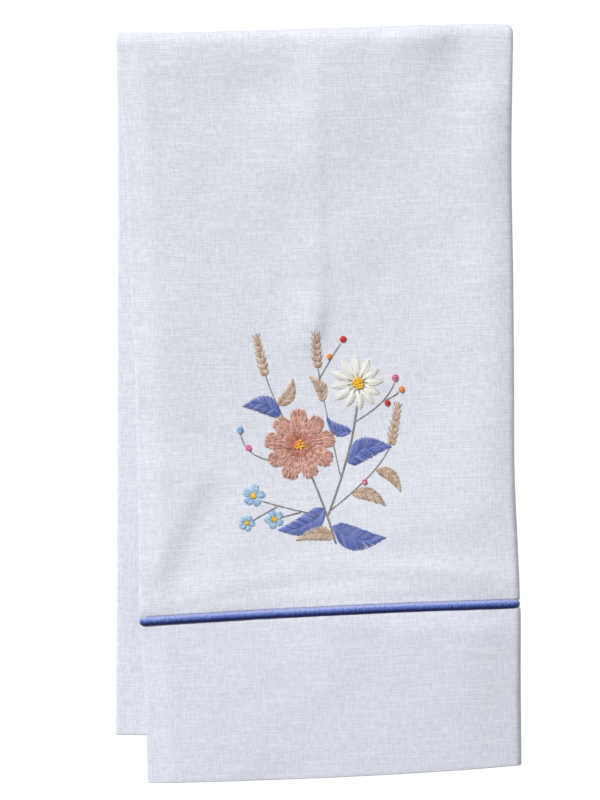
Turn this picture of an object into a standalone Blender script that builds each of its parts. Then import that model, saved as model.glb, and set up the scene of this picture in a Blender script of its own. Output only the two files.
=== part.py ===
"""Linen hand towel with a piped hem band, folded in three lengthwise and in half crosswise.

The towel lies on its back leg, with the front leg folded over it and swung a little to the right.
Row frame: X to the right, Y towards the crosswise fold, Z up from the surface it lies on.
All sizes are in millimetres and are scaled to metres when a mesh is made.
"""

import math
from collections import namedtuple

import bmesh
import bpy
import numpy as np

MM = 0.001
ORIGIN = (0.2, -0.12, 0.0)  # middle of the towel's box on the surface, which the row frame starts from

# Cloth, as cut and as stacked
FLAT_WIDTH = 356.0  # across the towel before it is folded in three
LEFT_FLAP = 103.0  # what the left lengthwise fold turns under, parallel to the thread
SHEET = 1.0  # thickness of one layer
LAYER_GAP = 0.3  # air between two layers
PITCH = SHEET + LAYER_GAP
STACK = 6 * SHEET + 5 * LAYER_GAP  # back leg's three layers and front leg's three
HALF_STACK = STACK / 2

# Depth of each layer's middle below the outer face, the same in both legs
PANEL_DEPTH = SHEET / 2
LEFT_FLAP_DEPTH = PANEL_DEPTH + PITCH
RIGHT_FLAP_DEPTH = PANEL_DEPTH + 2 * PITCH

# Heights in the stack: back right flap, then the front leg's right flap, left flap and panel
LEVELS = (RIGHT_FLAP_DEPTH, STACK - RIGHT_FLAP_DEPTH, STACK - LEFT_FLAP_DEPTH, STACK - PANEL_DEPTH)

# The crosswise fold is a half oval: its outer cloth reaches this much further out than a round one
FOLD_STRETCH = 0.5
FOLD_RADIUS = HALF_STACK - PANEL_DEPTH

# Piping: an oval covered cord in the seam between body and band
PIPING_HALF_WIDTH = 1.65
PIPING_HALF_HEIGHT = 1.2
PIPING_PROUD = 0.3  # its middle stands this far off the cloth's middle, on the face side
PIPING_EDGE_PROUD = 0.3  # how far it shows past the side folds
SEAM_GAP = 0.3  # between the piping and each cloth edge
SEAM_HALF = PIPING_HALF_WIDTH + SEAM_GAP

# Mesh density
FLAP_STEPS = 11
FOLD_STEPS = 6
PANEL_STEPS = 24
BACK_STEPS = 9
TOP_FOLD_STEPS = 8
FRONT_STEPS = 32
BAND_STEPS = 9
PIPING_SIDES = 10
PIPING_PANEL_STEPS = 24

# Outline of each leg: one row for each crosswise line, from the crosswise fold to the end.
# left and right are the outermost points of the side folds; bow lifts the line's middle towards
# the fold; skew is how far the right flap climbs for each millimetre that it runs under.
Line = namedtuple("Line", "name left_x left_y right_x right_y bow skew")
BACK_LINES = (
    Line("fold", -77.2, 137.0, 75.0, 140.0, 0.0, 0.000),
    Line("shoulder", -76.7, 100.5, 73.4, 101.6, 0.0, 0.000),
    Line("waist", -76.8, 28.1, 72.7, 28.1, 0.0, 0.000),
    Line("low", -77.2, -83.0, 72.5, -83.0, 0.0, 0.000),
    Line("back_hem", -77.6, -127.1, 72.3, -128.4, -0.2, 0.000),
)
FRONT_LINES = (
    Line("fold", -77.2, 137.0, 75.0, 140.0, 0.0, 0.000),
    Line("shoulder", -73.6, 91.0, 74.3, 94.6, 0.0, 0.015),
    Line("chest", -71.8, 44.4, 75.0, 48.6, 0.1, 0.030),
    Line("waist", -70.0, 12.0, 75.3, 16.8, 0.2, 0.040),
    Line("above_band", -69.0, -37.0, 75.7, -31.4, 0.4, 0.055),
    Line("gather", -68.6, -62.0, 76.8, -55.4, 0.6, 0.062),
    Line("seam", -68.1, -84.0, 77.6, -77.0, 0.8, 0.068),
    Line("mid_band", -66.3, -109.8, 77.7, -103.2, 0.2, 0.068),
    Line("front_hem", -64.8, -145.7, 78.0, -138.8, -1.0, 0.068),
)

# How far the crosswise fold strays from its straight line, along it from left to right
Stray = namedtuple("Stray", "share offset")
FOLD_STRAY = (
    Stray(0.00, 0.00),
    Stray(0.16, -0.50),
    Stray(0.31, -0.30),
    Stray(0.61, 0.20),
    Stray(0.91, 0.40),
    Stray(1.00, 0.10),
)
STRAY_REACH = 26.0  # the straying dies out this far from the fold

# Soft ridges (height > 0) and troughs (< 0) of the front leg, each along a line. bow bends the
# line's middle to the left of its way. reach_left and reach_right are how far its sides run out to
# the left and right, and fade is how far it runs out past its ends.
Crease = namedtuple("Crease", "name x1 y1 x2 y2 bow height reach_left reach_right fade")
CREASES = (
    Crease("pressed_crease", 1.4, 30.0, 0.6, 142.0, 0.8, 0.42, 11.0, 2.6, 4.0),
    Crease("upper_swell", -15.0, 96.0, -8.0, 112.0, 0.0, 1.10, 15.0, 34.0, 15.0),
    Crease("upper_hollow", -30.0, 119.0, -14.0, 120.0, 0.0, -0.70, 8.0, 10.0, 9.0),
    Crease("fold_bulge_left", -50.0, 134.0, -20.0, 134.5, 0.0, 0.70, 7.0, 13.0, 14.0),
    Crease("fold_bulge_right", 33.0, 140.5, 45.0, 141.5, 0.0, 1.60, 7.0, 9.5, 7.0),
    Crease("fold_bulge_low", 8.0, 136.0, 36.0, 137.0, 0.0, 2.90, 10.0, 30.0, 13.0),
    Crease("right_swell", 67.5, -6.0, 67.5, 112.0, 0.0, 1.70, 18.0, 9.0, 16.0),
    Crease("right_swell_high", 65.0, 96.0, 65.0, 112.0, 0.0, 1.30, 19.0, 10.0, 14.0),
    Crease("left_roll", -58.0, -24.0, -60.0, 24.0, 0.0, 0.80, 20.0, 15.0, 16.0),
    Crease("pucker", -67.5, -77.0, -46.5, -30.0, 1.5, 1.60, 28.0, 6.4, 8.0),
    Crease("pucker_bank", -38.0, -72.0, -27.0, -42.0, 0.0, 0.50, 8.0, 12.0, 9.0),
    Crease("centre_nub", -2.6, 25.0, -0.8, 34.0, 0.0, 1.25, 8.5, 3.6, 6.0),
    Crease("centre_bank", 3.0, 57.0, 15.0, 57.0, 0.0, 0.50, 22.0, 8.0, 8.0),
    Crease("ripple_high", -62.0, -79.0, 74.0, -67.0, 9.5, 0.60, 5.0, 3.6, 5.0),
    Crease("ripple_middle", -50.0, -80.0, 70.0, -72.0, 3.6, 0.45, 3.6, 3.0, 5.0),
    Crease("ripple_right", 26.0, -65.5, 60.0, -67.0, 1.0, 0.80, 3.6, 5.5, 7.0),
    Crease("right_fall", 24.0, -48.0, 66.0, -38.0, 0.0, 1.30, 30.0, 13.0, 9.0),
    Crease("band_swell", -40.0, -150.0, 4.0, -88.0, 0.0, 0.90, 24.0, 16.0, 14.0),
    Crease("band_fall", 11.0, -150.0, 18.0, -86.0, 0.0, 2.10, 26.0, 46.0, 14.0),
    Crease("band_edge", 58.0, -150.0, 58.0, -88.0, 0.0, 1.30, 40.0, 13.0, 7.0),
    Crease("band_dip", 4.0, -91.0, 26.0, -90.0, 0.0, -0.30, 5.0, 9.0, 7.0),
)
PUFF = 0.45  # the whole front leg stands this much looser than the bare stack

# How the layers settle at the side folds, where one of the flaps ends
LEFT_SETTLE = 1.9
RIGHT_SETTLE = 0.35
LEFT_SETTLE_RAMP = (11.0, 0.0)  # distances from the edge where the settling starts and is full
RIGHT_SETTLE_RAMP = (9.0, 0.0)
# Lift of the layers at LEVELS over the piping that runs inside the stack
SEAM_LIFTS = (0.0, 1.1, 1.0, 1.9)
SEAM_CROWN = 1.4  # more lift for the two upper layers, away from the side folds
SEAM_RAMP = (-40.0, -3.0, 11.0, 32.0)  # foot, top, top and foot of that hump, up from the seam
PANEL_RAMP = (-110.0, -3.0, 6.0, 72.0)  # the panel falls from it far more slowly
LEFT_CROWN_RAMP = (1.0, 40.0)
RIGHT_CROWN_RAMP = (1.0, 26.0)
# How far the front leg sinks past the back leg's end
OVERHANG_SINK = 0.3
OVERHANG_REACH = 22.0


def ease(start, end, x):
    """0 at start, 1 at end, smooth at both; start may be the larger."""
    share = np.clip((x - start) / (end - start), 0.0, 1.0)
    return share * share * (3 - 2 * share)


def curve_through(knots, values, x):
    """A smooth curve through the knots, read at x."""
    knots, values = np.asarray(knots, float), np.asarray(values, float)
    slopes = np.gradient(values, knots)
    i = np.clip(np.searchsorted(knots, x) - 1, 0, len(knots) - 2)
    step = knots[i + 1] - knots[i]
    f = (x - knots[i]) / step
    from_start = (1 + 2 * f) * (1 - f) ** 2 * values[i] + f * (1 - f) ** 2 * step * slopes[i]
    from_end = f * f * (3 - 2 * f) * values[i + 1] + f * f * (f - 1) * step * slopes[i + 1]
    return from_start + from_end


class Leg:
    """One leg of the folded towel: its crosswise lines, read at any distance from the fold."""

    def __init__(self, lines):
        middles = np.array([((a.left_x + a.right_x) / 2, (a.left_y + a.right_y) / 2) for a in lines])
        steps = np.hypot(*np.diff(middles, axis=0).T)
        self.along = np.concatenate([[0.0], np.cumsum(steps)])
        self.lines = lines

    def at(self, name):
        """Distance from the fold to a named line."""
        return self.along[[line.name for line in self.lines].index(name)]

    def read(self, column, along):
        return curve_through(self.along, [getattr(line, column) for line in self.lines], along)

    def line(self, along):
        """The line's left and right ends, its bow and its skew."""
        left = np.array([self.read("left_x", along), self.read("left_y", along)])
        right = np.array([self.read("right_x", along), self.read("right_y", along)])
        return left, right, self.read("bow", along), self.read("skew", along)


BACK = Leg(BACK_LINES)
FRONT = Leg(FRONT_LINES)
FOLD_LEFT, FOLD_RIGHT, _, _ = FRONT.line(0.0)
FOLD_WAY = (FOLD_RIGHT - FOLD_LEFT) / np.linalg.norm(FOLD_RIGHT - FOLD_LEFT)
FOLD_OUT = np.array([-FOLD_WAY[1], FOLD_WAY[0]])  # in the plane, away from the legs
SEAM_LEFT, SEAM_RIGHT, _, _ = FRONT.line(FRONT.at("seam"))
BACK_END_LEFT, BACK_END_RIGHT, _, _ = BACK.line(BACK.at("back_hem"))


def height_on(left, right, x):
    """Y of the straight line through left and right, at x."""
    return left[1] + (right[1] - left[1]) * (x - left[0]) / (right[0] - left[0])


def crease_relief(x, y):
    """Sum of the ridges and troughs at a point of the front leg."""
    total = PUFF
    for crease in CREASES:
        way = np.array([crease.x2 - crease.x1, crease.y2 - crease.y1])
        length = np.hypot(*way)
        way = way / length
        along = (x - crease.x1) * way[0] + (y - crease.y1) * way[1]
        aside = (x - crease.x1) * way[1] - (y - crease.y1) * way[0]  # > 0 to the right
        share = min(max(along / length, 0.0), 1.0)
        aside += 4 * share * (1 - share) * crease.bow
        reach = crease.reach_right if aside > 0 else crease.reach_left
        past_end = max(0.0, -along, along - length)
        total += crease.height * math.exp(-((aside / reach) ** 2) - (past_end / crease.fade) ** 2)
    return total


def lift(x, y, z, from_left, from_right):
    """How far the middle of a layer at height z moves up from the bare stack."""
    # layers sink at the side folds, where a flap is missing under them
    left = ease(*LEFT_SETTLE_RAMP, from_left) * ease(LEFT_FLAP_DEPTH, LEVELS[2], z)
    right = ease(*RIGHT_SETTLE_RAMP, from_right) * np.interp(z, (PANEL_DEPTH, LEVELS[0]), (0, 1))
    moved = -LEFT_SETTLE * left - RIGHT_SETTLE * right
    # layers rise over the piping inside
    above_seam = y - height_on(SEAM_LEFT, SEAM_RIGHT, x)
    humps = []
    for foot, top, far_top, far_foot in (SEAM_RAMP, PANEL_RAMP):
        humps.append(ease(foot, top, above_seam) * ease(far_foot, far_top, above_seam))
    hump = humps[0] + (humps[1] - humps[0]) * np.interp(z, LEVELS[2:], (0, 1))
    crown = SEAM_CROWN * ease(*LEFT_CROWN_RAMP, from_left) * ease(*RIGHT_CROWN_RAMP, from_right)
    moved += hump * (np.interp(z, LEVELS, SEAM_LIFTS) + crown * np.interp(z, LEVELS, (0, 0, 1, 1)))
    # the front leg hangs a little past the back leg's end
    past_end = height_on(BACK_END_LEFT, BACK_END_RIGHT, x) - y
    moved -= OVERHANG_SINK * ease(0.0, OVERHANG_REACH, past_end) * np.interp(z, LEVELS, (0, 1, 1, 1))
    # soft creases, strongest in the front panel
    moved += crease_relief(x, y) * np.interp(z, LEVELS, (0, 0.35, 0.7, 1.0))
    return moved


def section(width, left_fold=PITCH / 2, right_fold=PITCH, inset=SHEET / 2, panel_steps=PANEL_STEPS):
    """One crosswise section of the cloth's middle, from the left flap's edge to the right flap's.

    Each point is (distance from the left edge, depth, run under the right flap, turn). turn is the
    angle of the face side: -90 degrees points out of the panel, 90 into the stack.
    """
    points = []
    right_flap = FLAT_WIDTH - LEFT_FLAP - width
    left_centre, right_centre = inset + left_fold, width - inset - right_fold
    for i in range(FLAP_STEPS):
        across = LEFT_FLAP + (left_centre - LEFT_FLAP) * i / FLAP_STEPS
        points.append((across, LEFT_FLAP_DEPTH, 0.0, math.pi / 2))
    middle = (PANEL_DEPTH + LEFT_FLAP_DEPTH) / 2
    for i in range(FOLD_STEPS):
        turn = math.pi / 2 + math.pi * i / FOLD_STEPS
        depth = middle + (LEFT_FLAP_DEPTH - middle) * math.sin(turn)
        points.append((left_centre + left_fold * math.cos(turn), depth, 0.0, turn))
    for i in range(panel_steps):
        across = left_centre + (right_centre - left_centre) * i / panel_steps
        points.append((across, PANEL_DEPTH, 0.0, -math.pi / 2))
    middle = (PANEL_DEPTH + RIGHT_FLAP_DEPTH) / 2
    for i in range(FOLD_STEPS):
        turn = -math.pi / 2 + math.pi * i / FOLD_STEPS
        depth = middle + (RIGHT_FLAP_DEPTH - middle) * math.sin(turn)
        points.append((right_centre + right_fold * math.cos(turn), depth, 0.0, turn))
    for i in range(FLAP_STEPS + 1):
        across = right_centre + (width - right_flap - right_centre) * i / FLAP_STEPS
        points.append((across, RIGHT_FLAP_DEPTH, right_centre - across, math.pi / 2))
    return points


def place(leg, along, turned, point, width):
    """Where a section point lies, and which way its face side looks there.

    turned is the angle round the crosswise fold: 0 on the back leg, pi on the front leg.
    """
    across, depth, run, turn = point
    left, right, bow, skew = leg.line(along)
    row_way = (right - left) / width
    row_up = np.array([-row_way[1], row_way[0]])
    share = across / width
    stray = curve_through([s.share for s in FOLD_STRAY], [s.offset for s in FOLD_STRAY], share)
    radius = HALF_STACK - depth
    reach = radius * (1 + FOLD_STRETCH * (radius / FOLD_RADIUS) ** 2)
    flat = left + row_way * across
    flat = flat + row_up * (4 * share * (1 - share) * bow + run * skew)
    flat = flat + FOLD_OUT * (reach * math.sin(turned) + stray * ease(STRAY_REACH, 0.0, along))
    height = HALF_STACK - radius * math.cos(turned)
    height += lift(flat[0], flat[1], height, across, width - across)
    inward = np.append(-FOLD_OUT * math.sin(turned), math.cos(turned))
    face = np.append(row_way, 0.0) * math.cos(turn) + inward * math.sin(turn)
    return np.append(flat, height) - ORIGIN, face


def crosswise(leg, along, turned=0.0, **shape):
    """One row of placed points with their face directions."""
    left, right, _, _ = leg.line(along)
    width = np.linalg.norm(right - left)
    return [place(leg, along, turned, point, width) for point in section(width, **shape)]


def material(name, colour, roughness):
    made = bpy.data.materials.new(name)
    made.use_nodes = True
    shader = made.node_tree.nodes["Principled BSDF"]
    shader.inputs["Base Color"].default_value = (*colour, 1.0)
    shader.inputs["Roughness"].default_value = roughness
    shader.inputs["Metallic"].default_value = 0.0
    return made


def keep(name, mesh_edit, finish):
    """Turn a bmesh into a named object with its material."""
    mesh = bpy.data.meshes.new(name)
    mesh_edit.to_mesh(mesh)
    mesh_edit.free()
    mesh.materials.append(finish)
    mesh.shade_smooth()
    made = bpy.data.objects.new(name, mesh)
    bpy.context.scene.collection.objects.link(made)
    return made


def sheet(name, rows, finish):
    """A cloth sheet through rows of placed points, thickened to both sides of its middle."""
    edit = bmesh.new()
    grid = [[edit.verts.new(spot * MM) for spot, _ in row] for row in rows]
    for row, after in zip(grid, grid[1:]):
        for a, b, c, d in zip(row, row[1:], after[1:], after):
            edit.faces.new((a, b, c, d))
    made = keep(name, edit, finish)
    thicken = made.modifiers.new("cloth thickness", "SOLIDIFY")
    thicken.thickness = SHEET * MM
    thicken.offset = 0.0
    thicken.use_even_offset = False
    return made


def towel_body(finish):
    """The main cloth: up the back leg, round the crosswise fold and down to the piping."""
    rows = []
    for i in range(BACK_STEPS):
        rows.append(crosswise(BACK, BACK.at("back_hem") * (1 - i / BACK_STEPS)))
    for i in range(TOP_FOLD_STEPS):
        rows.append(crosswise(FRONT, 0.0, math.pi * i / TOP_FOLD_STEPS))
    end = FRONT.at("seam") - SEAM_HALF
    for i in range(FRONT_STEPS + 1):
        rows.append(crosswise(FRONT, end * i / FRONT_STEPS, math.pi))
    return sheet("towel_body", rows, finish)


def hem_band(finish):
    """The doubled band under the piping, folded round the sides with the body."""
    start, end = FRONT.at("seam") + SEAM_HALF, FRONT.at("front_hem")
    steps = [start + (end - start) * i / BAND_STEPS for i in range(BAND_STEPS + 1)]
    return sheet("hem_band", [crosswise(FRONT, along, math.pi) for along in steps], finish)


def piping(finish):
    """The covered cord in the seam, from one flap's edge round both side folds to the other's."""
    seam = FRONT.at("seam")
    width = np.linalg.norm(SEAM_RIGHT - SEAM_LEFT)
    half_rise = (PITCH + SEAM_LIFTS[3] - SEAM_LIFTS[2]) / 2  # the flap to the lifted panel
    inset = half_rise / 2 + PIPING_HALF_HEIGHT - PIPING_EDGE_PROUD
    shape = {"left_fold": half_rise, "right_fold": 2 * half_rise - PIPING_PROUD, "inset": inset}
    path = []
    up = np.append(FOLD_OUT, 0.0)
    for point in section(width, panel_steps=PIPING_PANEL_STEPS, **shape):
        spot, face = place(FRONT, seam, math.pi, point, width)
        path.append(spot + face * PIPING_PROUD)
    edit = bmesh.new()
    rings = []
    for i, spot in enumerate(path):
        way = path[min(i + 1, len(path) - 1)] - path[max(i - 1, 0)]
        out = np.cross(way, up)
        out = out / np.linalg.norm(out)
        side = np.cross(out, way)
        side = side / np.linalg.norm(side)
        ring = []
        for k in range(PIPING_SIDES):
            angle = 2 * math.pi * k / PIPING_SIDES
            reach = out * PIPING_HALF_HEIGHT * math.cos(angle) + side * PIPING_HALF_WIDTH * math.sin(angle)
            ring.append(edit.verts.new((spot + reach) * MM))
        rings.append(ring)
    for ring, after in zip(rings, rings[1:]):
        for k in range(PIPING_SIDES):
            j = (k + 1) % PIPING_SIDES
            edit.faces.new((ring[k], ring[j], after[j], after[k]))
    edit.faces.new(rings[0])
    edit.faces.new(rings[-1])
    bmesh.ops.recalc_face_normals(edit, faces=edit.faces)
    return keep("piping", edit, finish)


def main():
    for old in list(bpy.data.objects):
        bpy.data.objects.remove(old, do_unlink=True)
    linen = material("white linen", (0.76, 0.78, 0.84), 0.9)
    band_linen = material("white linen band", (0.74, 0.76, 0.83), 0.9)
    satin = material("blue satin piping", (0.07, 0.11, 0.45), 0.45)
    towel_body(linen)
    hem_band(band_linen)
    piping(satin)


main()
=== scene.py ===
"""A folded linen hand towel with blue piping above its hem band, seen from straight above.

The towel is folded in three lengthwise, with both sides turned under, and then in half crosswise.
The sheets made here lie on the solids' folds, layer heights and creases, which the next section
repeats. They add what the solids leave out: thin plies, turned hems, a few slight rises, the satin
cover, the weave, the sewing, and a flower spray in thread.
Sizes are in millimetres until a mesh is made.
"""

import math
from collections import namedtuple

import bpy
import numpy as np
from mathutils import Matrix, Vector
from mathutils.bvhtree import BVHTree


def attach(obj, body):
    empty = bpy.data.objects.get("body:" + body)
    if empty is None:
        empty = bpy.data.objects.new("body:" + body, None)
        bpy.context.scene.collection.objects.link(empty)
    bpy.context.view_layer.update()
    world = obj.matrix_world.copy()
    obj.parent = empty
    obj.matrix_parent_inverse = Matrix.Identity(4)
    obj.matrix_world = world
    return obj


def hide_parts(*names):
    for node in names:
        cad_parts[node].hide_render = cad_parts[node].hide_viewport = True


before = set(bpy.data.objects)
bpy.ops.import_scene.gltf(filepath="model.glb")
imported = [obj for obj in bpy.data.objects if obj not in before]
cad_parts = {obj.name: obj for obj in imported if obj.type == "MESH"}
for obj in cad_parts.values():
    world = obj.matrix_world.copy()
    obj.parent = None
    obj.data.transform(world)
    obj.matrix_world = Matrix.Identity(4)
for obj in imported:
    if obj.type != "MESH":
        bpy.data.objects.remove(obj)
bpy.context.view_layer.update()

MM = 0.001
ORIGIN = np.array([0.2, -0.12, 0.0])  # what the outline tables are moved by, to centre the towel

# ---------------------------------------------------------------- the fold, as in the solids

FLAT_WIDTH = 356.0  # the cloth across, before it is folded in three
LEFT_FLAP = 103.0
SOLID_SHEET = 1.0
PITCH = 1.3  # from one layer's middle to the next
STACK = 7.5
HALF_STACK = STACK / 2
PANEL_DEPTH = SOLID_SHEET / 2
LEFT_FLAP_DEPTH = PANEL_DEPTH + PITCH
RIGHT_FLAP_DEPTH = PANEL_DEPTH + 2 * PITCH
# Heights of the layers: back right flap, then the front leg's right flap, left flap and panel
LEVELS = (RIGHT_FLAP_DEPTH, STACK - RIGHT_FLAP_DEPTH, STACK - LEFT_FLAP_DEPTH, STACK - PANEL_DEPTH)

# One row for each crosswise line of a leg, from the crosswise fold to the leg's end
Line = namedtuple("Line", "name left_x left_y right_x right_y bow skew")
BACK_LINES = (
    Line("fold", -77.2, 137.0, 75.0, 140.0, 0.0, 0.000),
    Line("shoulder", -76.7, 100.5, 73.4, 101.6, 0.0, 0.000),
    Line("waist", -76.8, 28.1, 72.7, 28.1, 0.0, 0.000),
    Line("low", -77.2, -83.0, 72.5, -83.0, 0.0, 0.000),
    Line("back_hem", -77.6, -127.1, 72.3, -128.4, -0.2, 0.000),
)
FRONT_LINES = (
    Line("fold", -77.2, 137.0, 75.0, 140.0, 0.0, 0.000),
    Line("shoulder", -73.6, 91.0, 74.3, 94.6, 0.0, 0.015),
    Line("chest", -71.8, 44.4, 75.0, 48.6, 0.1, 0.030),
    Line("waist", -70.0, 12.0, 75.3, 16.8, 0.2, 0.040),
    Line("above_band", -69.0, -37.0, 75.7, -31.4, 0.4, 0.055),
    Line("gather", -68.6, -62.0, 76.8, -55.4, 0.6, 0.062),
    Line("seam", -68.1, -84.0, 77.6, -77.0, 0.8, 0.068),
    Line("mid_band", -66.3, -109.8, 77.7, -103.2, 0.2, 0.068),
    Line("front_hem", -64.8, -145.7, 78.0, -138.8, -1.0, 0.068),
)
# How far the crosswise fold strays from its straight line, along it from left to right
STRAY_SHARES = (0.00, 0.16, 0.31, 0.61, 0.91, 1.00)
STRAY_OFFSETS = (0.00, -0.50, -0.30, 0.20, 0.40, 0.10)
STRAY_REACH = 26.0  # down from the fold, where it has died out

# Soft ridges (height > 0) and troughs (< 0) of the front leg, each along a line.
# left_edge_rise is the cloth's own; all the others are in the solids too.
Crease = namedtuple("Crease", "name x1 y1 x2 y2 bow height reach_left reach_right fade")
CREASES = (
    Crease("pressed_crease", 1.4, 30.0, 0.6, 142.0, 0.8, 0.42, 11.0, 2.6, 4.0),
    Crease("upper_swell", -15.0, 96.0, -8.0, 112.0, 0.0, 1.10, 15.0, 34.0, 15.0),
    Crease("upper_hollow", -30.0, 119.0, -14.0, 120.0, 0.0, -0.70, 8.0, 10.0, 9.0),
    Crease("fold_bulge_left", -50.0, 134.0, -20.0, 134.5, 0.0, 0.70, 7.0, 13.0, 14.0),
    Crease("fold_bulge_right", 33.0, 140.5, 45.0, 141.5, 0.0, 1.60, 7.0, 9.5, 7.0),
    Crease("fold_bulge_low", 8.0, 136.0, 36.0, 137.0, 0.0, 2.90, 10.0, 30.0, 13.0),
    Crease("right_swell", 67.5, -6.0, 67.5, 112.0, 0.0, 1.70, 18.0, 9.0, 16.0),
    Crease("right_swell_high", 65.0, 96.0, 65.0, 112.0, 0.0, 1.30, 19.0, 10.0, 14.0),
    Crease("left_roll", -58.0, -24.0, -60.0, 24.0, 0.0, 0.80, 20.0, 15.0, 16.0),
    Crease("left_edge_rise", -69.3, -58.0, -70.6, 6.0, 0.0, 0.90, 6.0, 9.0, 14.0),
    Crease("pucker", -67.5, -77.0, -46.5, -30.0, 1.5, 1.60, 28.0, 6.4, 8.0),
    Crease("pucker_bank", -38.0, -72.0, -27.0, -42.0, 0.0, 0.50, 8.0, 12.0, 9.0),
    Crease("centre_nub", -2.6, 25.0, -0.8, 34.0, 0.0, 1.25, 8.5, 3.6, 6.0),
    Crease("centre_bank", 3.0, 57.0, 15.0, 57.0, 0.0, 0.50, 22.0, 8.0, 8.0),
    Crease("ripple_high", -62.0, -79.0, 74.0, -67.0, 9.5, 0.60, 5.0, 3.6, 5.0),
    Crease("ripple_middle", -50.0, -80.0, 70.0, -72.0, 3.6, 0.45, 3.6, 3.0, 5.0),
    Crease("ripple_right", 26.0, -65.5, 60.0, -67.0, 1.0, 0.80, 3.6, 5.5, 7.0),
    Crease("right_fall", 24.0, -48.0, 66.0, -38.0, 0.0, 1.30, 30.0, 13.0, 9.0),
    Crease("band_swell", -40.0, -150.0, 4.0, -88.0, 0.0, 0.90, 24.0, 16.0, 14.0),
    Crease("band_fall", 11.0, -150.0, 18.0, -86.0, 0.0, 2.10, 26.0, 46.0, 14.0),
    Crease("band_edge", 58.0, -150.0, 58.0, -88.0, 0.0, 1.30, 40.0, 13.0, 7.0),
    Crease("band_dip", 4.0, -91.0, 26.0, -90.0, 0.0, -0.30, 5.0, 9.0, 7.0),
)
CREASE_SHARES = (0, 0.35, 0.7, 1.0)  # how much of the creases each layer at LEVELS follows
PUFF = 0.45  # how far the front leg's panel stands up everywhere
LEFT_SETTLE = 1.9  # how far the layers settle at each side fold, and over what distance from it
RIGHT_SETTLE = 0.35
LEFT_SETTLE_RAMP = (11.0, 0.0)
RIGHT_SETTLE_RAMP = (9.0, 0.0)
SEAM_LIFTS = (0.0, 1.1, 1.0, 1.9)  # of the layers at LEVELS, over the piping that runs inside
SEAM_CROWN = 1.4  # the further lift midway between the side folds
SEAM_RAMP = (-40.0, -3.0, 11.0, 32.0)  # from the seam: foot and top below it, top and foot above
PANEL_RAMP = (-110.0, -3.0, 6.0, 72.0)  # the panel falls from that hump far more slowly
LEFT_CROWN_RAMP = (1.0, 40.0)
RIGHT_CROWN_RAMP = (1.0, 26.0)
OVERHANG_SINK = 0.3  # of the front leg where it runs on past the back leg's end
OVERHANG_REACH = 22.0
FOLD_STRETCH = 0.5  # how much further out the outer cloth of the fold reaches than a round fold
PIPING_HALF_WIDTH = 1.65
PIPING_HALF_HEIGHT = 1.2
PIPING_PROUD = 0.3  # how far its middle stands above the cloth's
PIPING_EDGE_PROUD = 0.3  # how far it stands out at the left fold
SEAM_HALF = PIPING_HALF_WIDTH + 0.3

# ---------------------------------------------------------------- what the cloth adds to it

PLY = 0.6  # the body's cloth
BAND_PLY = 0.42  # each ply of the doubled band
BAND_PLY_OFFSET = 0.28  # of each ply's middle from the band's middle
LEFT_FOLD_ROUND = 0.9  # how far each side fold's round reaches in from the cloth's edge
RIGHT_FOLD_ROUND = 2.2
SEAM_EDGE = 1.35  # the cloth rolls down under the piping to this far from its middle
SEAM_ROLL = 0.45
SEAM_ROLL_REACH = 1.0
CLOSE_TO_SEAM = 9.0  # nearer than this to the piping, mesh lines lie closer
HEM_DEPTH = 2.9
HEM_EXTRA = 0.3  # thickness that the turned hem adds on the wrong side
HEM_STEP = (0.4, -0.1)  # past the hem's depth: where that thickness ends and where it is full
HEM_STITCH_LINE = 2.4
HEM_STITCH_PULL = 0.5  # share of that thickness that the stitches press flat
HEM_STITCH_REACH = 0.35
HEM_COLUMNS = (0.0, 0.4, 1.3, 2.1, 2.4, 2.7, 3.0, 3.4, 4.6)  # mesh lines in from a hemmed edge
UNEVEN_HEIGHT = 0.10
STRIP_RISE = (-0.6, 1.1)  # of the back leg's left flap, at its fold and further in
STRIP_REACH = 13.0  # from the fold to where that rise is full
STRIP_END = 42.0  # and to where it has died out
STRIP_FADE = (-80.0, -20.0)  # places up the towel where it starts and is full


def ease(start, end, x):
    """0 at start, 1 at end, smooth at both; start may be the larger."""
    share = np.clip((x - start) / (end - start), 0.0, 1.0)
    return share * share * (3 - 2 * share)


def curve_through(knots, values, x):
    """A smooth curve through the knots, read at x."""
    knots, values = np.asarray(knots, float), np.asarray(values, float)
    slopes = np.gradient(values, knots)
    i = np.clip(np.searchsorted(knots, x) - 1, 0, len(knots) - 2)
    step = knots[i + 1] - knots[i]
    f = (x - knots[i]) / step
    from_start = (1 + 2 * f) * (1 - f) ** 2 * values[i] + f * (1 - f) ** 2 * step * slopes[i]
    from_end = f * f * (3 - 2 * f) * values[i + 1] + f * f * (f - 1) * step * slopes[i + 1]
    return from_start + from_end


class Leg:
    """One leg of the folded towel: its crosswise lines, read at any distance from the fold."""

    def __init__(self, lines):
        middles = np.array([((a.left_x + a.right_x) / 2, (a.left_y + a.right_y) / 2) for a in lines])
        steps = np.hypot(*np.diff(middles, axis=0).T)
        self.along = np.concatenate([[0.0], np.cumsum(steps)])
        self.lines = lines

    def at(self, name):
        """Distance from the fold to a named line."""
        return self.along[[line.name for line in self.lines].index(name)]

    def read(self, column, along):
        return curve_through(self.along, [getattr(line, column) for line in self.lines], along)

    def line(self, along):
        """The line's left and right ends, its bow and its skew."""
        left = np.array([self.read("left_x", along), self.read("left_y", along)])
        right = np.array([self.read("right_x", along), self.read("right_y", along)])
        return left, right, self.read("bow", along), self.read("skew", along)


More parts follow.
